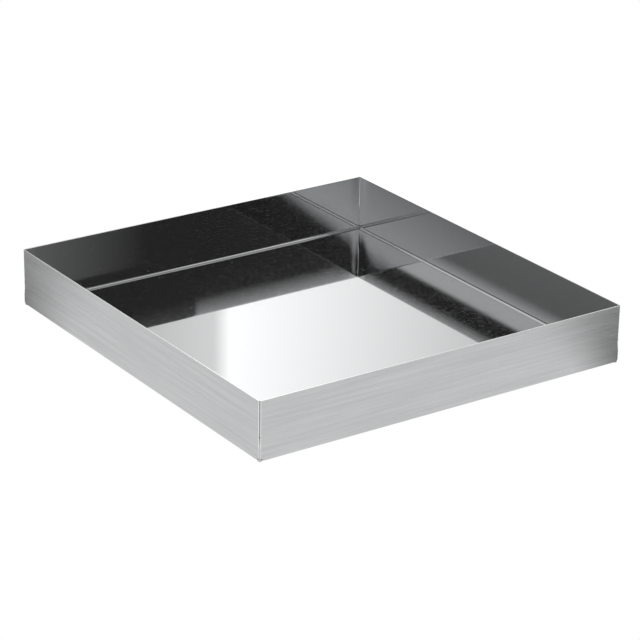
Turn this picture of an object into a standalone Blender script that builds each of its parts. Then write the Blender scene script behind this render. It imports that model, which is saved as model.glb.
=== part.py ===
"""Shallow open tray for plaster mud, folded from one sheet of stainless steel.

One flat blank is folded up along its four sides, so the floor and the four walls are one piece
of sheet. The walls stop short of each corner line, which leaves a narrow open groove down every
corner, and a round relief at the foot of each corner keeps the two folds apart. A spot of weld
metal closes each relief, and a bead of it closes the lower part of each groove, so that the tray
holds wet material. The groove stays open above the bead, up to the rim.

The origin is in the middle of the underside. X is the width, Y the length and Z is up.
"""

import bmesh
import bpy
from mathutils import Vector
from math import radians

# The folded sheet
WIDTH = 0.400
LENGTH = 0.420
HEIGHT = 0.058
SHEET = 0.0012
INNER_BEND_RADIUS = 0.0020
OUTER_BEND_RADIUS = INNER_BEND_RADIUS + SHEET
BEND_SEGMENTS = 8

# The open groove and the relief at each corner, measured from the corner's two outer faces
WALL_END = 0.0014
RELIEF_INSET = 0.0016
RELIEF_RADIUS = 0.0032
RELIEF_TOP = RELIEF_INSET + RELIEF_RADIUS

# Weld metal
CLEARANCE = 0.0003
SPOT_RADIUS = RELIEF_RADIUS - CLEARANCE
SPOT_CORNER_RADIUS = 0.0016
BEAD_SIDE = WALL_END - CLEARANCE
BEAD_CORNER_RADIUS = 0.0007
BEAD_BOTTOM = RELIEF_TOP + CLEARANCE
BEAD_TOP = 0.40 * HEIGHT
ROUND_SEGMENTS = 24
CORNER_SEGMENTS = 4

# How far a cutter reaches past the metal that it cuts
OVERCUT = 0.002

# Corner name, sign of X, sign of Y, and the turn about Z that points the corner's own X and Y inward
CORNERS = (
    ("front_left", -1, -1, 0),
    ("front_right", 1, -1, 90),
    ("back_right", 1, 1, 180),
    ("back_left", -1, 1, 270),
)


def clear_scene():
    for item in list(bpy.data.objects):
        bpy.data.objects.remove(item, do_unlink=True)


def new_collection(name):
    collection = bpy.data.collections.new(name)
    bpy.context.scene.collection.children.link(collection)
    return collection


def metal(name, colour, roughness):
    material = bpy.data.materials.new(name)
    material.use_nodes = True
    shader = material.node_tree.nodes["Principled BSDF"]
    shader.inputs["Base Color"].default_value = (*colour, 1.0)
    shader.inputs["Metallic"].default_value = 1.0
    shader.inputs["Roughness"].default_value = roughness
    return material


def box_mesh(low, high):
    """A bmesh box between two corners."""
    low = Vector(low)
    high = Vector(high)
    mesh = bmesh.new()
    bmesh.ops.create_cube(mesh, size=1.0)
    bmesh.ops.scale(mesh, vec=high - low, verts=mesh.verts)
    bmesh.ops.translate(mesh, vec=(low + high) / 2, verts=mesh.verts)
    return mesh


def ball_mesh(radius, centre):
    """A bmesh ball, fine enough for a weld spot."""
    mesh = bmesh.new()
    bmesh.ops.create_uvsphere(mesh, u_segments=ROUND_SEGMENTS, v_segments=ROUND_SEGMENTS // 2, radius=radius)
    bmesh.ops.translate(mesh, vec=centre, verts=mesh.verts)
    return mesh


def new_object(name, shape, collection):
    """Turn a bmesh into an object, and free the bmesh."""
    mesh = bpy.data.meshes.new(name)
    shape.to_mesh(mesh)
    shape.free()
    item = bpy.data.objects.new(name, mesh)
    collection.objects.link(item)
    return item


def new_cutter(name, shape, cutters):
    cutter = new_object(name, shape, cutters)
    cutter.hide_render = True
    cutter.display_type = "WIRE"
    return cutter


def place_at_corner(item, sign_x, sign_y, turn):
    """Put an item's origin on the corner line at the underside, with its own X and Y inward."""
    item.location = (sign_x * WIDTH / 2, sign_y * LENGTH / 2, 0.0)
    item.rotation_euler = (0.0, 0.0, radians(turn))


def boolean(item, cutter, operation):
    modifier = item.modifiers.new(f"{operation.title()} {cutter.name}", "BOOLEAN")
    modifier.operation = operation
    modifier.solver = "EXACT"
    modifier.object = cutter


def shade_smooth(item):
    item.data.shade_smooth()
    item.data.set_sharp_from_angle(angle=radians(35))


def make_folded_sheet(parts, cutters, material):
    """The floor and four walls: an open box with rounded bottom edges, thickened inward and slit."""
    shape = box_mesh((-WIDTH / 2, -LENGTH / 2, 0.0), (WIDTH / 2, LENGTH / 2, HEIGHT))
    lid = [face for face in shape.faces if face.normal.z > 0.5]
    bmesh.ops.delete(shape, geom=lid, context="FACES")
    folds = [edge for edge in shape.edges if all(vert.co.z < HEIGHT / 2 for vert in edge.verts)]
    bmesh.ops.bevel(
        shape, geom=folds, affect="EDGES", offset=OUTER_BEND_RADIUS, segments=BEND_SEGMENTS, profile=0.5
    )
    sheet = new_object("folded_sheet", shape, parts)
    sheet.data.materials.append(material)
    shade_smooth(sheet)
    wall = sheet.modifiers.new("Sheet thickness", "SOLIDIFY")
    wall.thickness = SHEET
    wall.offset = -1.0
    wall.use_even_offset = True
    for name, sign_x, sign_y, turn in CORNERS:
        slit_shape = box_mesh((-OVERCUT, -OVERCUT, -OVERCUT), (WALL_END, WALL_END, HEIGHT + OVERCUT))
        slit = new_cutter(f"slit_{name}", slit_shape, cutters)
        place_at_corner(slit, sign_x, sign_y, turn)
        boolean(sheet, slit, "DIFFERENCE")
        relief_shape = ball_mesh(RELIEF_RADIUS, (RELIEF_INSET, RELIEF_INSET, RELIEF_INSET))
        relief = new_cutter(f"relief_{name}", relief_shape, cutters)
        place_at_corner(relief, sign_x, sign_y, turn)
        boolean(sheet, relief, "DIFFERENCE")


def seam_bead_mesh():
    """A bead as wide as the groove, its outer edge ground round, in the corner's own frame."""
    shape = box_mesh((0.0, 0.0, BEAD_BOTTOM), (BEAD_SIDE, BEAD_SIDE, BEAD_TOP))
    middle = BEAD_SIDE / 2
    outer_edge = [edge for edge in shape.edges if all(max(vert.co.xy) < middle for vert in edge.verts)]
    bmesh.ops.bevel(
        shape,
        geom=outer_edge,
        affect="EDGES",
        offset=BEAD_CORNER_RADIUS,
        segments=CORNER_SEGMENTS,
        profile=0.5,
    )
    return shape


def make_seam_welds(parts, material):
    for name, sign_x, sign_y, turn in CORNERS:
        bead = new_object(f"seam_weld_{name}", seam_bead_mesh(), parts)
        bead.data.materials.append(material)
        shade_smooth(bead)
        place_at_corner(bead, sign_x, sign_y, turn)


def make_relief_welds(parts, cutters, material):
    """A ball of weld metal in each relief, ground flush with the underside and both outer faces."""
    for name, sign_x, sign_y, turn in CORNERS:
        envelope_shape = box_mesh((0.0, 0.0, 0.0), (4 * RELIEF_RADIUS,) * 3)
        envelope = new_cutter(f"envelope_{name}", envelope_shape, cutters)
        rounding = envelope.modifiers.new("Ground corner", "BEVEL")
        rounding.width = SPOT_CORNER_RADIUS
        rounding.segments = CORNER_SEGMENTS
        place_at_corner(envelope, sign_x, sign_y, turn)
        spot_shape = ball_mesh(SPOT_RADIUS, (RELIEF_INSET, RELIEF_INSET, RELIEF_INSET))
        spot = new_object(f"relief_weld_{name}", spot_shape, parts)
        spot.data.materials.append(material)
        shade_smooth(spot)
        place_at_corner(spot, sign_x, sign_y, turn)
        boolean(spot, envelope, "INTERSECT")


def main():
    clear_scene()
    parts = new_collection("mud_pan")
    cutters = new_collection("mud_pan_cutters")
    stainless = metal("Brushed stainless sheet", (0.60, 0.61, 0.61), 0.28)
    weld_metal = metal("Ground weld metal", (0.52, 0.53, 0.53), 0.40)
    make_folded_sheet(parts, cutters, stainless)
    make_seam_welds(parts, weld_metal)
    make_relief_welds(parts, cutters, weld_metal)


main()
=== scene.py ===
from math import cos, pi, radians, sin

import bmesh
import bpy
from mathutils import Matrix, Vector


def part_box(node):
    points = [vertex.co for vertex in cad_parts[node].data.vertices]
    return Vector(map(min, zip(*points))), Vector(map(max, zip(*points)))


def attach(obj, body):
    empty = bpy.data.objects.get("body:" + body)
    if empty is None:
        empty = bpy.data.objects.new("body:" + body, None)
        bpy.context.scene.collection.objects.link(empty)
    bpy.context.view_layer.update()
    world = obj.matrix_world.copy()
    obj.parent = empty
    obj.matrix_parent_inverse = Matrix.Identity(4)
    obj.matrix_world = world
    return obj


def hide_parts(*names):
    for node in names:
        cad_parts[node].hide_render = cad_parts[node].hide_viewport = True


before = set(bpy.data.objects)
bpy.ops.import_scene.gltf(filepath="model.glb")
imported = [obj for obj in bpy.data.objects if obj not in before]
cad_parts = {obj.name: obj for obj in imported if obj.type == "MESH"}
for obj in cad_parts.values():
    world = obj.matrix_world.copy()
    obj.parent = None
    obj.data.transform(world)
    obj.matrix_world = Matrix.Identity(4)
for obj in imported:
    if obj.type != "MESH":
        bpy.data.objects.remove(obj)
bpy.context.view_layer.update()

scene = bpy.context.scene
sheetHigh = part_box("folded_sheet")[1]
halfWidth = sheetHigh.x
halfLength = sheetHigh.y
height = sheetHigh.z
tolerance = 1e-5                 # metres, for finding edges by their place

# each corner: name, sign of X, sign of Y, and the turn that points its own X and Y inward
corners = (
    ("front_left", -1, -1, 0),
    ("front_right", 1, -1, 90),
    ("back_right", 1, 1, 180),
    ("back_left", -1, 1, 270),
)


# helpers for meshes

def deselectAll():
    for item in bpy.context.selected_objects:
        item.select_set(False)


def selectWhere(item, kind, test):
    # kind is "verts", "edges" or "faces"; the test gets one element
    mesh = bmesh.from_edit_mesh(item.data)
    for group in (mesh.verts, mesh.edges, mesh.faces):
        for element in group:
            element.select = False
    for element in getattr(mesh, kind):
        if test(element):
            element.select_set(True)
    mesh.select_flush_mode()
    bmesh.update_edit_mesh(item.data)


def near(a, b):
    return abs(a - b) < tolerance


def cutAt(axis, place):
    # one straight cut across everything, at a place along X, Y or Z
    point = [0.0, 0.0, 0.0]
    normal = [0.0, 0.0, 0.0]
    point[axis] = place
    normal[axis] = 1.0
    bpy.ops.mesh.select_all(action="SELECT")
    bpy.ops.mesh.bisect(plane_co=point, plane_no=normal)


def spread(low, high, cell):
    # evenly spaced places between two ends, about one cell apart
    count = max(1, round((high - low) / cell))
    return [low + (high - low) * step / count for step in range(1, count)]


def applyModifiers(item):
    bpy.context.view_layer.objects.active = item
    for modifier in list(item.modifiers):
        bpy.ops.object.modifier_apply(modifier=modifier.name)


def smoothByAngle(item, angle):
    deselectAll()
    item.select_set(True)
    bpy.context.view_layer.objects.active = item
    bpy.ops.object.shade_smooth_by_angle(angle=radians(angle))


def finishPiece(item, name, slotName, *nodes):
    item.name = name
    item.data.name = name
    deselectAll()
    item.select_set(True)
    bpy.context.view_layer.objects.active = item
    bpy.ops.object.transform_apply(location=True, rotation=True, scale=True)
    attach(item, "root")
    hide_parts(*nodes)


# camera

cameraSettings = {
    "focalLength": 144.5,        # mm
    "sensorWidth": 36.0,
    "azimuth": -34.70,           # degrees, as are the next two
    "elevation": 22.74,
    "roll": 0.95,
    "distance": 2.487,
    "aim": (0.0226, 0.0238, 0.0),
    "nearest": 0.05,
    "farthest": 60.0,
}


def makeCamera(settings):
    azimuth = radians(settings["azimuth"])
    elevation = radians(settings["elevation"])
    roll = radians(settings["roll"])
    back = Vector((sin(azimuth) * cos(elevation), -cos(azimuth) * cos(elevation), sin(elevation)))
    right = Vector((cos(azimuth), sin(azimuth), 0.0))
    up = back.cross(right)
    cameraX = cos(roll) * right + sin(roll) * up
    cameraY = cos(roll) * up - sin(roll) * right
    data = bpy.data.cameras.new("camera")
    data.lens = settings["focalLength"]
    data.sensor_width = settings["sensorWidth"]
    data.clip_start = settings["nearest"]
    data.clip_end = settings["farthest"]
    item = bpy.data.objects.new("camera", data)
    scene.collection.objects.link(item)
    turn = Matrix((cameraX, cameraY, back)).transposed().to_4x4()
    place = Vector(settings["aim"]) + settings["distance"] * back
    item.matrix_world = Matrix.Translation(place) @ turn
    scene.camera = item
    print("camera placed")


# shader helpers

def newMaterial(name):
    material = bpy.data.materials.new(name)
    material.use_nodes = True
    material.node_tree.nodes.clear()
    return material


def addNode(tree, kind, place, **settings):
    node = tree.nodes.new(kind)
    node.location = place
    for key, value in settings.items():
        setattr(node, key, value)
    return node


def addGroup(tree, group, place, **values):
    node = addNode(tree, "ShaderNodeGroup", place, node_tree=group)
    for key, value in values.items():
        node.inputs[key].default_value = value
    return node


def newGroup(name, inputs, outputs):
    group = bpy.data.node_groups.new(name, "ShaderNodeTree")
    for label, kind, value in inputs:
        socket = group.interface.new_socket(name=label, in_out="INPUT", socket_type=kind)
        if value is not None:
            socket.default_value = value
    for label, kind in outputs:
        group.interface.new_socket(name=label, in_out="OUTPUT", socket_type=kind)
    entry = addNode(group, "NodeGroupInput", (-900, 0))
    leave = addNode(group, "NodeGroupOutput", (700, 0))
    return group, entry, leave


def remap(tree, source, place, fromLow, fromHigh, toLow, toHigh):
    node = addNode(tree, "ShaderNodeMapRange", place)
    ends = {"From Min": fromLow, "From Max": fromHigh, "To Min": toLow, "To Max": toHigh}
    for key, value in ends.items():
        node.inputs[key].default_value = value
    tree.links.new(source, node.inputs["Value"])
    return node.outputs["Result"]


def calculate(tree, operation, place, first, second):
    node = addNode(tree, "ShaderNodeMath", place, operation=operation)
    for socket, value in zip(node.inputs, (first, second)):
        if isinstance(value, (int, float)):
            socket.default_value = value
        else:
            tree.links.new(value, socket)
    return node.outputs[0]


# shared effects

def makeGrainGroup():
    # long scratches of a polishing belt: Stretch packs the pattern tighter along each axis
    group, entry, leave = newGroup(
        "beltGrain",
        [("Vector", "NodeSocketVector", None), ("Stretch", "NodeSocketVector", (6.0, 6.0, 900.0))],
        [("Scratches", "NodeSocketFloat"), ("Bands", "NodeSocketFloat")],
    )
    scaled = addNode(group, "ShaderNodeVectorMath", (-650, 0), operation="MULTIPLY")
    group.links.new(entry.outputs["Vector"], scaled.inputs[0])
    group.links.new(entry.outputs["Stretch"], scaled.inputs[1])
    scratches = addNode(group, "ShaderNodeTexNoise", (-350, 150))
    scratches.inputs["Scale"].default_value = 1.0
    scratches.inputs["Detail"].default_value = 4.0
    scratches.inputs["Roughness"].default_value = 0.65
    group.links.new(scaled.outputs[0], scratches.inputs["Vector"])
    bands = addNode(group, "ShaderNodeTexNoise", (-350, -150))
    bands.inputs["Scale"].default_value = 0.22
    bands.inputs["Detail"].default_value = 2.0
    group.links.new(scaled.outputs[0], bands.inputs["Vector"])
    group.links.new(scratches.outputs["Fac"], leave.inputs["Scratches"])
    group.links.new(bands.outputs["Fac"], leave.inputs["Bands"])
    return group


markShape = {
    "smudgeFade": (0.56, 0.80),  # the noise levels between which a smudge fades in
    "speckSize": (0.03, 0.075),  # smallest and largest, as a share of a cell
}


def makeSmudgeGroup(shape):
    # soft marks where the tray has been handled and wiped
    group, entry, leave = newGroup(
        "smudges",
        [("Vector", "NodeSocketVector", None), ("Size", "NodeSocketFloat", 12.0)],
        [("Mask", "NodeSocketFloat")],
    )
    noise = addNode(group, "ShaderNodeTexNoise", (-500, 0))
    noise.inputs["Detail"].default_value = 3.0
    noise.inputs["Distortion"].default_value = 0.6
    group.links.new(entry.outputs["Vector"], noise.inputs["Vector"])
    group.links.new(entry.outputs["Size"], noise.inputs["Scale"])
    mask = remap(group, noise.outputs["Fac"], (-200, 0), *shape["smudgeFade"], 0.0, 1.0)
    group.links.new(mask, leave.inputs["Mask"])
    return group


def makeDustGroup(shape):
    # a few pale specks: the middles of some cells of a fine pattern
    group, entry, leave = newGroup(
        "dustSpecks",
        [
            ("Vector", "NodeSocketVector", None),
            ("Spacing", "NodeSocketFloat", 160.0),
            ("Share", "NodeSocketFloat", 0.03),
        ],
        [("Mask", "NodeSocketFloat")],
    )
    cells = addNode(group, "ShaderNodeTexVoronoi", (-600, 0))
    group.links.new(entry.outputs["Vector"], cells.inputs["Vector"])
    group.links.new(entry.outputs["Spacing"], cells.inputs["Scale"])
    parts = addNode(group, "ShaderNodeSeparateColor", (-400, -150))
    group.links.new(cells.outputs["Color"], parts.inputs[0])
    chosen = calculate(group, "LESS_THAN", (-200, -150), parts.outputs[0], entry.outputs["Share"])
    size = remap(group, parts.outputs[1], (-200, -350), 0.0, 1.0, *shape["speckSize"])
    small = calculate(group, "LESS_THAN", (0, 0), cells.outputs["Distance"], size)
    group.links.new(calculate(group, "MULTIPLY", (200, 0), chosen, small), leave.inputs["Mask"])
    return group


waveShape = {
    "heatReach": 0.07,           # from a corner, where the welding heat pulled the sheet
    "heatStrength": 2.0,
    "heatScale": 34.0,
    "springReach": 0.016,        # from a corner, where the free ends of the walls lean in
    "springStrength": -6.0,
    "springFoot": 0.004,         # height above the ground from which they start to lean
}


def makeWaveGroup(shape):
    # the sheet isn't quite flat, least of all at its corners
    group, entry, leave = newGroup(
        "sheetWaves",
        [("Vector", "NodeSocketVector", None), ("Size", "NodeSocketFloat", 9.0)],
        [("Height", "NodeSocketFloat")],
    )
    broad = addNode(group, "ShaderNodeTexNoise", (-600, 200))
    broad.inputs["Detail"].default_value = 0.0
    group.links.new(entry.outputs["Vector"], broad.inputs["Vector"])
    group.links.new(entry.outputs["Size"], broad.inputs["Scale"])
    folded = addNode(group, "ShaderNodeVectorMath", (-600, -100), operation="ABSOLUTE")
    group.links.new(entry.outputs["Vector"], folded.inputs[0])
    flat = addNode(group, "ShaderNodeVectorMath", (-450, -100), operation="MULTIPLY")
    flat.inputs[1].default_value = (1, 1, 0)
    group.links.new(folded.outputs[0], flat.inputs[0])
    gap = addNode(group, "ShaderNodeVectorMath", (-300, -100), operation="DISTANCE")
    gap.inputs[1].default_value = (halfWidth, halfLength, 0)
    group.links.new(flat.outputs[0], gap.inputs[0])
    heat = remap(group, gap.outputs["Value"], (-100, -100),
                 0.0, shape["heatReach"], shape["heatStrength"], 0.0)
    heat.node.interpolation_type = "SMOOTHERSTEP"
    ends = remap(group, gap.outputs["Value"], (-100, -600),
                 0.0, shape["springReach"], shape["springStrength"], 0.0)
    ends.node.interpolation_type = "SMOOTHERSTEP"
    parts = addNode(group, "ShaderNodeSeparateXYZ", (-300, -750))
    group.links.new(entry.outputs["Vector"], parts.inputs[0])
    rise = remap(group, parts.outputs["Z"], (-100, -800), shape["springFoot"], height, 0.0, 1.0)
    sprung = calculate(group, "MULTIPLY", (200, -700), ends, rise)
    close = addNode(group, "ShaderNodeTexNoise", (-300, -350))
    close.inputs["Scale"].default_value = shape["heatScale"]
    close.inputs["Detail"].default_value = 1.0
    group.links.new(entry.outputs["Vector"], close.inputs["Vector"])
    pulled = calculate(group, "MULTIPLY", (100, -100), heat, close.outputs["Fac"])
    pulled = calculate(group, "ADD", (300, -400), pulled, sprung)
    total = calculate(group, "ADD", (300, 0), broad.outputs["Fac"], pulled)
    group.links.new(total, leave.inputs["Height"])
    return group


beltGrain = makeGrainGroup()
smudges = makeSmudgeGroup(markShape)
dustSpecks = makeDustGroup(markShape)
sheetWaves = makeWaveGroup(waveShape)


# steel finishes

insideFinish = {
    "colour": (0.60, 0.605, 0.61),
    "speckColour": (0.85, 0.85, 0.83),
    "sharpRoughness": 0.022,
    "hazeRoughness": 0.25,
    "hazeShare": 0.04,           # of the surface, where scratches spread the light
    "hazeFade": 0.04,            # how softly a scratch begins
    "smudgeRoughness": 0.06,
    "smudgeSize": 16.0,
    "anisotropy": 0.75,
    "stretch": (150.0, 4000.0, 4000.0),
    "speckSpacing": 130.0,
    "speckShare": 0.02,
    "speckHeight": 0.00002,
    "waveSize": 9.0,
    "waveHeight": 0.00002,
}

outsideFinish = {
    "colour": (0.565, 0.57, 0.575),
    "darkColour": (0.485, 0.49, 0.495),
    "roughness": (0.24, 0.40),
    "smudgeRoughness": 0.06,
    "smudgeSize": 14.0,
    "anisotropy": 0.6,
    "stretch": (40.0, 40.0, 1700.0),
    "stretchBelow": (40.0, 1700.0, 40.0),
    "toneRange": (0.75, 1.25),
    "scratchHeight": 0.000008,
    "waveSize": 9.0,
    "waveHeight": 0.00002,
}

# cut, ground and welded metal; the rim's near-white colour is a painted highlight, and the groove's dark
# colour is painted shade
roughFinish = {
    # near-white colour: a painted highlight along the top edges and the rounded corner edges
    "rimHighlight": {"colour": (0.95, 0.95, 0.95), "roughness": 0.22, "pitHeight": 0.000003},
    # dark colour: painted shade in the corner grooves
    "grooveShade": {"colour": (0.36, 0.36, 0.37), "roughness": 0.50, "pitHeight": 0.00001},
    "weld": {"colour": (0.56, 0.555, 0.55), "roughness": 0.38, "pitHeight": 0.00002},
    "roughnessRange": 0.08,      # to each side
    "dulling": 0.75,             # of the colour, in patches
    "stretch": (2500.0, 2500.0, 400.0),
    "patchSize": 600.0,
}

scratchRange = (0.3, 0.7)        # the levels that most of the grain's noise lies between


def steelShader(tree, anisotropy):
    shader = addNode(tree, "ShaderNodeBsdfPrincipled", (600, 0))
    shader.inputs["Metallic"].default_value = 1.0
    shader.inputs["Anisotropic"].default_value = anisotropy
    if anisotropy:
        # the grain follows the length of each wall, which is the first direction of the map
        tangent = addNode(tree, "ShaderNodeTangent", (350, -550), direction_type="UV_MAP")
        tangent.uv_map = "grain"
        tree.links.new(tangent.outputs[0], shader.inputs["Tangent"])
    output = addNode(tree, "ShaderNodeOutputMaterial", (900, 0))
    tree.links.new(shader.outputs["BSDF"], output.inputs["Surface"])
    return shader


def bumpFrom(tree, source, distance, shader, under=None):
    bump = addNode(tree, "ShaderNodeBump", (350, -350))
    bump.inputs["Distance"].default_value = distance
    tree.links.new(source, bump.inputs["Height"])
    if under:
        tree.links.new(under.outputs["Normal"], bump.inputs["Normal"])
    tree.links.new(bump.outputs["Normal"], shader.inputs["Normal"])
    return bump


def blendColours(tree, factor, place, first, second):
    colour = addNode(tree, "ShaderNodeMix", place, data_type="RGBA")
    for name, value in (("A", first), ("B", second)):
        socket = next(item for item in colour.inputs if item.name == name and item.type == "RGBA")
        socket.default_value = (*value, 1)
    tree.links.new(factor, colour.inputs[0])
    return next(item for item in colour.outputs if item.type == "RGBA")


def makeInsideSteel(finish):
    # near mirror, with fine scratches that spread some light
    material = newMaterial("insideSteel")
    tree = material.node_tree
    shader = steelShader(tree, finish["anisotropy"])
    place = addNode(tree, "ShaderNodeTexCoord", (-900, 0))
    grain = addGroup(tree, beltGrain, (-600, 200), Stretch=finish["stretch"])
    marks = addGroup(tree, smudges, (-600, -50), Size=finish["smudgeSize"])
    specks = addGroup(tree, dustSpecks, (-600, -250),
                      Spacing=finish["speckSpacing"], Share=finish["speckShare"])
    waves = addGroup(tree, sheetWaves, (-600, -450), Size=finish["waveSize"])
    for node in (grain, marks, specks, waves):
        tree.links.new(place.outputs["Object"], node.inputs["Vector"])
    # the noise is centred on a half, so the smaller the share, the higher the level it starts at
    edge = 0.5 + 0.3 * (0.5 - finish["hazeShare"])
    fade = finish["hazeFade"]
    haze = remap(tree, grain.outputs["Scratches"], (-300, 200), edge - fade, edge + fade,
                 finish["sharpRoughness"], finish["hazeRoughness"])
    wiped = remap(tree, marks.outputs["Mask"], (-300, -50), 0.0, 1.0, 0.0, finish["smudgeRoughness"])
    roughness = calculate(tree, "MAXIMUM", (0, 100), haze, wiped)
    dusty = calculate(tree, "MAXIMUM", (200, 100), roughness, specks.outputs["Mask"])
    tree.links.new(dusty, shader.inputs["Roughness"])
    colour = blendColours(tree, specks.outputs["Mask"], (200, 350),
                          finish["colour"], finish["speckColour"])
    tree.links.new(colour, shader.inputs["Base Color"])
    metal = remap(tree, specks.outputs["Mask"], (200, -100), 0.0, 1.0, 1.0, 0.0)
    tree.links.new(metal, shader.inputs["Metallic"])
    under = bumpFrom(tree, waves.outputs["Height"], finish["waveHeight"], shader)
    bumpFrom(tree, specks.outputs["Mask"], finish["speckHeight"], shader, under)
    return material


def makeBrushedSteel(name, finish, stretch):
    # brushed along each wall
    material = newMaterial(name)
    tree = material.node_tree
    shader = steelShader(tree, finish["anisotropy"])
    place = addNode(tree, "ShaderNodeTexCoord", (-900, 0))
    grain = addGroup(tree, beltGrain, (-600, 200), Stretch=stretch)
    marks = addGroup(tree, smudges, (-600, -50), Size=finish["smudgeSize"])
    waves = addGroup(tree, sheetWaves, (-600, -450), Size=finish["waveSize"])
    for node in (grain, marks, waves):
        tree.links.new(place.outputs["Object"], node.inputs["Vector"])
    streaks = remap(tree, grain.outputs["Scratches"], (-300, 200), *scratchRange, *finish["roughness"])
    worn = calculate(tree, "MULTIPLY", (-100, 0), marks.outputs["Mask"], finish["smudgeRoughness"])
    tree.links.new(calculate(tree, "ADD", (50, 100), streaks, worn), shader.inputs["Roughness"])
    tone = calculate(tree, "ADD", (-100, 350), grain.outputs["Scratches"], grain.outputs["Bands"])
    tone = remap(tree, tone, (50, 350), *finish["toneRange"], 0.0, 1.0)
    colour = blendColours(tree, tone, (250, 350), finish["darkColour"], finish["colour"])
    tree.links.new(colour, shader.inputs["Base Color"])
    under = bumpFrom(tree, waves.outputs["Height"], finish["waveHeight"], shader)
    bumpFrom(tree, grain.outputs["Scratches"], finish["scratchHeight"], shader, under)
    return material


def makeRoughSteel(part, finish):
    # no long grain, small pits and a duller tone in patches
    own = finish[part]
    material = newMaterial(f"{part}Steel")
    tree = material.node_tree
    shader = steelShader(tree, 0.0)
    place = addNode(tree, "ShaderNodeTexCoord", (-900, 0))
    grain = addGroup(tree, beltGrain, (-600, 200), Stretch=finish["stretch"])
    marks = addGroup(tree, smudges, (-600, -50), Size=finish["patchSize"])
    for node in (grain, marks):
        tree.links.new(place.outputs["Object"], node.inputs["Vector"])
    low, high = own["roughness"] - finish["roughnessRange"], own["roughness"] + finish["roughnessRange"]
    shine = remap(tree, grain.outputs["Scratches"], (-300, 200), *scratchRange, low, high)
    tree.links.new(shine, shader.inputs["Roughness"])
    dull = tuple(finish["dulling"] * channel for channel in own["colour"])
    colour = blendColours(tree, marks.outputs["Mask"], (250, 350), own["colour"], dull)
    tree.links.new(colour, shader.inputs["Base Color"])
    bumpFrom(tree, grain.outputs["Scratches"], own["pitHeight"], shader)
    return material


# folded sheet

sheetShape = {
    "thickness": 0.0012,
    "foldRadius": 0.0032,        # outside of the fold
    "foldSteps": 12,
    "wallEnd": 0.00125,          # where a wall stops, from the corner's outer face
    "notch": 0.0034,             # side of the relief at the foot of each corner
    "supportWidth": 0.0015,      # narrow faces beside each fold keep the reflections flat
    "cell": 0.012,
    "rimRadius": 0.00025,
    "rimSteps": 3,
    "innerEndShare": 0.3,        # of the rim radius, on the walls' inner upright edges
    "endRadius": 0.0006,         # the walls' outer upright edges
    "endSteps": 4,
    "sharpAngle": 50,            # degrees between faces, from which an edge is cut, not folded
    "smoothAngle": 40,
}


def foldUpSide(item, shape, along, sign, wallRows):
    # the fold, then the wall up to the rim, on one side of the floor
    across = 1 - along
    radius = shape["foldRadius"]
    foldLine = sign * ((halfWidth if across == 0 else halfLength) - radius)

    def onFoldLine(edge):
        return all(near(vert.co[across], foldLine) and near(vert.co.z, 0.0) for vert in edge.verts)
    selectWhere(item, "edges", onFoldLine)
    centre = [0.0, 0.0, radius]
    centre[across] = foldLine
    axis = [0.0, 0.0, 0.0]
    axis[along] = sign if across == 0 else -sign
    bpy.ops.mesh.spin(steps=shape["foldSteps"], angle=pi / 2, center=centre, axis=axis)
    level = radius
    for row in wallRows:
        bpy.ops.mesh.extrude_region_move(TRANSFORM_OT_translate={"value": (0, 0, row - level)})
        level = row


def reachToCorner(item, shape, along, sign, outer, cut):
    # above the relief, the two walls that end here reach on towards the corner groove
    across = 1 - along

    def onWallEnd(edge):
        upright = all(near(vert.co[along], sign * cut) for vert in edge.verts)
        onWall = all(near(abs(vert.co[across]), outer) for vert in edge.verts)
        aboveRelief = all(vert.co.z > shape["notch"] - tolerance for vert in edge.verts)
        return upright and onWall and aboveRelief
    selectWhere(item, "edges", onWallEnd)
    move = [0.0, 0.0, 0.0]
    move[along] = sign * (shape["notch"] - shape["wallEnd"])
    bpy.ops.mesh.extrude_region_move(TRANSFORM_OT_translate={"value": move})


def atWallEnd(edge, shape, depth):
    # an upright edge at the end of a wall, this deep under its outer face
    for along, across in ((0, 1), (1, 0)):
        end = (halfWidth, halfLength)[along] - shape["wallEnd"]
        face = (halfWidth, halfLength)[across] - depth
        if all(near(abs(vert.co[along]), end) and near(abs(vert.co[across]), face) for vert in edge.verts):
            return True
    return False


def roundCutEdges(item, shape):
    # the weight is the share of the radius
    bpy.ops.object.mode_set(mode="EDIT")
    bpy.ops.mesh.select_all(action="DESELECT")
    bpy.ops.mesh.edges_select_sharp(sharpness=radians(shape["sharpAngle"]))
    bpy.ops.transform.edge_bevelweight(value=1.0)
    selectWhere(item, "edges", lambda edge: atWallEnd(edge, shape, shape["thickness"]))
    bpy.ops.transform.edge_bevelweight(value=shape["innerEndShare"] - 1.0)
    bpy.ops.mesh.select_all(action="SELECT")
    bpy.ops.uv.cube_project(cube_size=1.0)
    bpy.ops.object.mode_set(mode="OBJECT")
    item.data.uv_layers[0].name = "grain"
    edges = item.modifiers.new("cut edges", "BEVEL")
    edges.width = shape["rimRadius"]
    edges.segments = shape["rimSteps"]
    edges.limit_method = "WEIGHT"
    edges.use_clamp_overlap = False
    applyModifiers(item)


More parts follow.
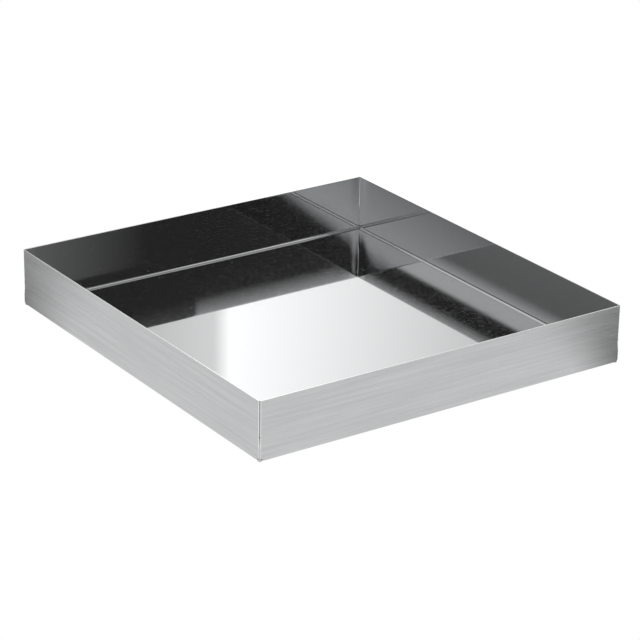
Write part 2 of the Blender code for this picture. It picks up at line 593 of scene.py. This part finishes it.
def makeSheet(shape):
    notch = shape["notch"]
    support = shape["supportWidth"]
    cuts = (halfWidth - notch, halfLength - notch)
    deselectAll()
    bpy.ops.mesh.primitive_plane_add(size=1.0, location=(0, 0, 0))
    item = bpy.context.object
    bpy.ops.object.mode_set(mode="EDIT")
    flatSize = (2 * (halfWidth - shape["foldRadius"]), 2 * (halfLength - shape["foldRadius"]), 1)
    bpy.ops.transform.resize(value=flatSize)
    for axis, cut in enumerate(cuts):
        inner = cut - support
        for place in (-cut, -inner, inner, cut, *spread(-inner, inner, shape["cell"])):
            cutAt(axis, place)

    def inRelief(face):
        centre = face.calc_center_median()
        return abs(centre.x) > cuts[0] and abs(centre.y) > cuts[1]
    selectWhere(item, "faces", inRelief)
    bpy.ops.mesh.delete(type="FACE")

    wallRows = [notch, *spread(notch, height, shape["cell"]), height - support, height]
    for along in (0, 1):
        for sign in (-1, 1):
            foldUpSide(item, shape, along, sign, wallRows)
    for along, outer in ((1, halfWidth), (0, halfLength)):
        for sign in (-1, 1):
            reachToCorner(item, shape, along, sign, outer, cuts[along])
    bpy.ops.mesh.select_all(action="SELECT")
    bpy.ops.mesh.remove_doubles(threshold=1e-6)
    bpy.ops.mesh.normals_make_consistent(inside=False)
    mesh = bmesh.from_edit_mesh(item.data)
    middle = min(mesh.faces, key=lambda face: face.calc_center_median().length)
    if middle.normal.z > 0:
        bpy.ops.mesh.flip_normals()
    bpy.ops.object.mode_set(mode="OBJECT")
    wall = item.modifiers.new("thickness", "SOLIDIFY")
    wall.thickness = shape["thickness"]
    wall.offset = -1.0
    wall.use_even_offset = True
    applyModifiers(item)

    bpy.ops.object.mode_set(mode="EDIT")

    def onOuterEnd(edge):
        low, high = sorted(vert.co.z for vert in edge.verts)
        upright = high - low > 10 * tolerance and low > notch - tolerance
        return upright and atWallEnd(edge, shape, 0)
    selectWhere(item, "edges", onOuterEnd)
    bpy.ops.mesh.bevel(offset=shape["endRadius"], segments=shape["endSteps"], affect="EDGES",
                       clamp_overlap=False)
    bpy.ops.object.mode_set(mode="OBJECT")
    roundCutEdges(item, shape)
    smoothByAngle(item, shape["smoothAngle"])
    flatten = item.modifiers.new("flat reflections", "WEIGHTED_NORMAL")
    flatten.keep_sharp = True
    applyModifiers(item)
    print("sheet folded")
    return item


def paintSheet(item, shape):
    materials = {
        "inside": makeInsideSteel(insideFinish),
        "outside": makeBrushedSteel("outsideSteel", outsideFinish, outsideFinish["stretch"]),
        "underside": makeBrushedSteel("undersideSteel", outsideFinish, outsideFinish["stretchBelow"]),
        "rimHighlight": makeRoughSteel("rimHighlight", roughFinish),
        "grooveShade": makeRoughSteel("grooveShade", roughFinish),
    }
    for material in materials.values():
        item.data.materials.append(material)
    slots = list(materials)
    slack = shape["rimRadius"] * 1.5
    reach = shape["wallEnd"] + shape["endRadius"] + slack
    # how much of a face's normal has to point along an axis
    square = 0.98                # along X or Y, on a flat upright face
    below = 0.7                  # down, on the underside
    turning = 0.02               # down, on the outside of a fold
    facingOut = 0.1              # away from the middle, on an outer face
    for face in item.data.polygons:
        x, y, z = (abs(value) for value in face.center)
        normal = face.normal
        sideways = (normal.x * face.center.x, normal.y * face.center.y)
        atCorner = x > halfWidth - reach and y > halfLength - reach and z > shape["notch"]
        outward = max(sideways) > 0
        facesEndX = abs(normal.x) > square and x < halfWidth - slack
        facesEndY = abs(normal.y) > square and y < halfLength - slack
        rounded = max(abs(normal.x), abs(normal.y)) < square
        if atCorner and outward and (facesEndX or facesEndY):
            # these faces get the painted shade colour
            part = "grooveShade"
        elif z > height - slack or atCorner and outward and rounded:
            # these faces get the painted highlight colour
            part = "rimHighlight"
        elif normal.z < -below and z < slack:
            part = "underside"
        elif x > halfWidth - slack and sideways[0] > facingOut * x:
            part = "outside"
        elif y > halfLength - slack and sideways[1] > facingOut * y:
            part = "outside"
        elif normal.z < -turning and z < shape["foldRadius"]:
            part = "outside"
        else:
            part = "inside"
        face.material_index = slots.index(part)
    print("sheet finished")


# welds

weldShape = {
    "beadSide": 0.0013,
    "beadBottom": 0.0030,
    "beadTop": 0.0235,
    "beadRadius": 0.0006,
    "beadSteps": 4,
    "beadTaper": 0.012,          # from the top down, where the bead thins out
    "beadThinning": 0.75,        # of its width, at the very top
    "ripple": 0.0009,            # height of one ripple
    "rippleDepth": 0.95,         # of its width, left between two ripples
    "spotGround": 0.0002,        # how far the spots' outer faces lie inside the tray's own
    "spotReach": 0.0036,         # where their inner faces lie
    "spotRound": 0.0013,
    "spotSteps": 6,
    "smoothAngle": 50,
}

# the piece that stands for each kind of weld in the CAD
pieceNames = {"seam_weld": "weld_bead", "relief_weld": "weld_spot"}


def placeInCorner(item, kind, corner, signX, signY, turn):
    # the piece is modelled in a corner of its own, with the tray's corner at the origin
    item.rotation_euler.z = radians(turn)
    item.location = (signX * halfWidth, signY * halfLength, 0)
    finishPiece(item, f"{pieceNames[kind]}_{corner}", "weld_metal", f"{kind}_{corner}")


def makeBead(shape):
    # a square bar in the groove, rounded outside, with a ripple for each step of the weld
    side = shape["beadSide"]
    tall = shape["beadTop"] - shape["beadBottom"]
    middle = (side / 2, side / 2, shape["beadBottom"] + tall / 2)
    deselectAll()
    bpy.ops.mesh.primitive_cube_add(size=1.0, location=middle)
    item = bpy.context.object
    bpy.ops.object.mode_set(mode="EDIT")
    bpy.ops.transform.resize(value=(side, side, tall))
    bpy.ops.object.mode_set(mode="OBJECT")
    bpy.ops.object.transform_apply(location=True, rotation=True, scale=True)
    bpy.ops.object.mode_set(mode="EDIT")

    def onOuterCorner(edge):
        return all(vert.co.x + vert.co.y < side / 10 for vert in edge.verts)
    selectWhere(item, "edges", onOuterCorner)
    bpy.ops.mesh.bevel(offset=shape["beadRadius"], segments=shape["beadSteps"], affect="EDGES",
                       clamp_overlap=False)
    halfRipple = shape["ripple"] / 2
    rows = [shape["beadBottom"] + step * halfRipple for step in range(1, int(tall / halfRipple))]
    for row in rows:
        cutAt(2, row)

    def narrowRow(row, share):
        selectWhere(item, "verts", lambda vert: near(vert.co.z, row))
        bpy.ops.transform.resize(value=(share, share, 1), center_override=(side, side, row))
    for row in rows:
        rise = max(0.0, 1 - (shape["beadTop"] - row) / shape["beadTaper"])
        narrowRow(row, 1 - shape["beadThinning"] * rise)
    for row in rows[::2]:
        narrowRow(row, shape["rippleDepth"])
    bpy.ops.object.mode_set(mode="OBJECT")
    smoothByAngle(item, shape["smoothAngle"])
    return item


def makeSpot(shape):
    # a small rounded lump that fills the relief
    start, end = shape["spotGround"], shape["spotReach"]
    deselectAll()
    bpy.ops.mesh.primitive_cube_add(size=end - start, location=[(start + end) / 2] * 3)
    item = bpy.context.object
    bpy.ops.object.transform_apply(location=True, rotation=True, scale=True)
    rounding = item.modifiers.new("rounded edges", "BEVEL")
    rounding.width = shape["spotRound"]
    rounding.segments = shape["spotSteps"]
    applyModifiers(item)
    smoothByAngle(item, shape["smoothAngle"])
    return item


def makeWelds(shape):
    metal = makeRoughSteel("weld", roughFinish)
    for kind, model in (("seam_weld", makeBead(shape)), ("relief_weld", makeSpot(shape))):
        model.data.materials.append(metal)
        for name, signX, signY, turn in corners[1:]:
            copy = model.copy()
            copy.data = model.data.copy()
            scene.collection.objects.link(copy)
            placeInCorner(copy, kind, name, signX, signY, turn)
        name, signX, signY, turn = corners[0]
        placeInCorner(model, kind, name, signX, signY, turn)
    print("welds made")


# stage and studio

stageSettings = {
    "floorSize": 16.0,
    "floorLevel": -0.0002,
    "floorGlow": 1.0,
    "roomGlow": 0.26,            # what the metal sees where no card stands
}

# cards around the pan, seen only by the metal: centre, size, turn in degrees, and the glow along the
# length as pairs of share and strength
studioCards = {
    # a dim panel beside a bright one, behind the pan
    "cardBack": {"centre": (0.55, 0.60, 0.40), "size": (1.10, 0.80), "turn": (90, 0, 0),
                 "glow": ((0.0, 0.5), (0.24, 1.0), (0.26, 1.6), (0.6, 0.9), (1.0, 0.9))},
    # two bright bands with a dark gap between them
    "cardSide": {"centre": (-0.35, 0.75, 0.35), "size": (0.30, 1.20), "turn": (0, -90, 0),
                 "glow": ((0.0, 0.3), (0.45, 0.2), (0.53, 0.8), (0.61, 0.8), (0.63, 0.02), (0.72, 0.02),
                          (0.80, 0.8))},
    # dark below and bright above
    "cardFront": {"centre": (1.02, -0.80, 0.48), "size": (0.55, 0.80), "turn": (0, -90, 90),
                  "glow": ((0.0, 0.04), (0.58, 0.04), (0.67, 1.0))},
    "cardFrontEnd": {"centre": (0.46, -0.80, 0.60), "size": (0.30, 0.32), "turn": (0, -90, 90),
                     "glow": ((0.0, 0.04), (0.25, 0.04), (0.45, 0.2))},
    "cardLow": {"centre": (0.40, -0.80, 0.33), "size": (0.44, 0.24), "turn": (90, 0, 0),
                "glow": ((0.0, 0.4), (0.8, 0.04))},
    # a bright panel with a slanted upper edge, dark past it
    "cardCamera": {"centre": (-0.88, -0.80, 0.32), "size": (1.40, 0.90), "turn": (90, -50, 0),
                   "glow": ((0.0, 0.45), (0.66, 0.45), (0.74, 1.0), (0.755, 1.0), (0.77, 0.04))},
    "cardTop": {"centre": (0.0, 0.0, 1.50), "size": (4.60, 2.80), "turn": (0, 0, 110),
                "glow": ((0.0, 1.0), (0.2, 1.0), (0.45, 0.3), (0.75, 1.1))},
    # the ground darkens away from the pan's left and right corners
    "groundLeft": {"centre": (-0.16, 0.30, -0.0001), "size": (0.40, 0.60), "turn": (0, 0, 35),
                   "glow": ((0.0, 1.0), (0.15, 0.95), (0.3, 0.3))},
    "groundRight": {"centre": (0.36, -0.18, -0.0001), "size": (0.40, 0.50), "turn": (0, 0, 29),
                    "glow": ((0.0, 1.0), (0.12, 0.3))},
}


def glowMaterial(name, stops):
    material = newMaterial(name)
    tree = material.node_tree
    coordinates = addNode(tree, "ShaderNodeTexCoord", (-700, 0))
    parts = addNode(tree, "ShaderNodeSeparateXYZ", (-500, 0))
    ramp = addNode(tree, "ShaderNodeValToRGB", (-300, 0))
    emission = addNode(tree, "ShaderNodeEmission", (-100, 0))
    output = addNode(tree, "ShaderNodeOutputMaterial", (100, 0))
    elements = ramp.color_ramp.elements
    for count, (share, glow) in enumerate(stops):
        # a new ramp already has two stops
        stop = elements[count] if count < 2 else elements.new(share)
        stop.position = share
        stop.color = (glow, glow, glow, 1)
    tree.links.new(coordinates.outputs["UV"], parts.inputs[0])
    tree.links.new(parts.outputs["X"], ramp.inputs[0])
    tree.links.new(ramp.outputs[0], emission.inputs["Color"])
    tree.links.new(emission.outputs[0], output.inputs["Surface"])
    return material


def makeCard(name, card):
    turn = [radians(angle) for angle in card["turn"]]
    deselectAll()
    bpy.ops.mesh.primitive_plane_add(size=1.0, location=card["centre"], rotation=turn)
    item = bpy.context.object
    item.name = name
    item.scale = (*card["size"], 1)
    item.data.materials.append(glowMaterial(name, card["glow"]))
    item.visible_camera = False
    item.visible_shadow = False
    item.visible_diffuse = False


def makeStage(settings, cards):
    place = (0, 0, settings["floorLevel"])
    bpy.ops.mesh.primitive_plane_add(size=settings["floorSize"], location=place)
    floor = bpy.context.object
    floor.name = "floor"
    material = newMaterial("paleFloor")
    tree = material.node_tree
    emission = addNode(tree, "ShaderNodeEmission", (0, 0))
    emission.inputs["Strength"].default_value = settings["floorGlow"]
    output = addNode(tree, "ShaderNodeOutputMaterial", (300, 0))
    tree.links.new(emission.outputs[0], output.inputs["Surface"])
    floor.data.materials.append(material)
    for name, card in cards.items():
        makeCard(name, card)
    print("cards placed")


def makeWorld(settings):
    # white to the camera, dark room to the metal
    world = bpy.data.worlds.new("studio")
    scene.world = world
    world.use_nodes = True
    tree = world.node_tree
    tree.nodes.clear()
    path = addNode(tree, "ShaderNodeLightPath", (-400, 200))
    dark = addNode(tree, "ShaderNodeBackground", (-200, 0))
    dark.inputs["Strength"].default_value = settings["roomGlow"]
    white = addNode(tree, "ShaderNodeBackground", (-200, -150))
    mix = addNode(tree, "ShaderNodeMixShader", (0, 0))
    output = addNode(tree, "ShaderNodeOutputWorld", (200, 0))
    for node in (dark, white):
        node.inputs["Color"].default_value = (1, 1, 1, 1)
    tree.links.new(path.outputs["Is Camera Ray"], mix.inputs[0])
    tree.links.new(dark.outputs[0], mix.inputs[1])
    tree.links.new(white.outputs[0], mix.inputs[2])
    tree.links.new(mix.outputs[0], output.inputs["Surface"])
    scene.view_settings.view_transform = "Standard"
    print("studio ready")


makeCamera(cameraSettings)
sheet = makeSheet(sheetShape)
paintSheet(sheet, sheetShape)
finishPiece(sheet, "tray_sheet", "stainless_sheet", "folded_sheet")
makeWelds(weldShape)
makeStage(stageSettings, studioCards)
makeWorld(stageSettings)
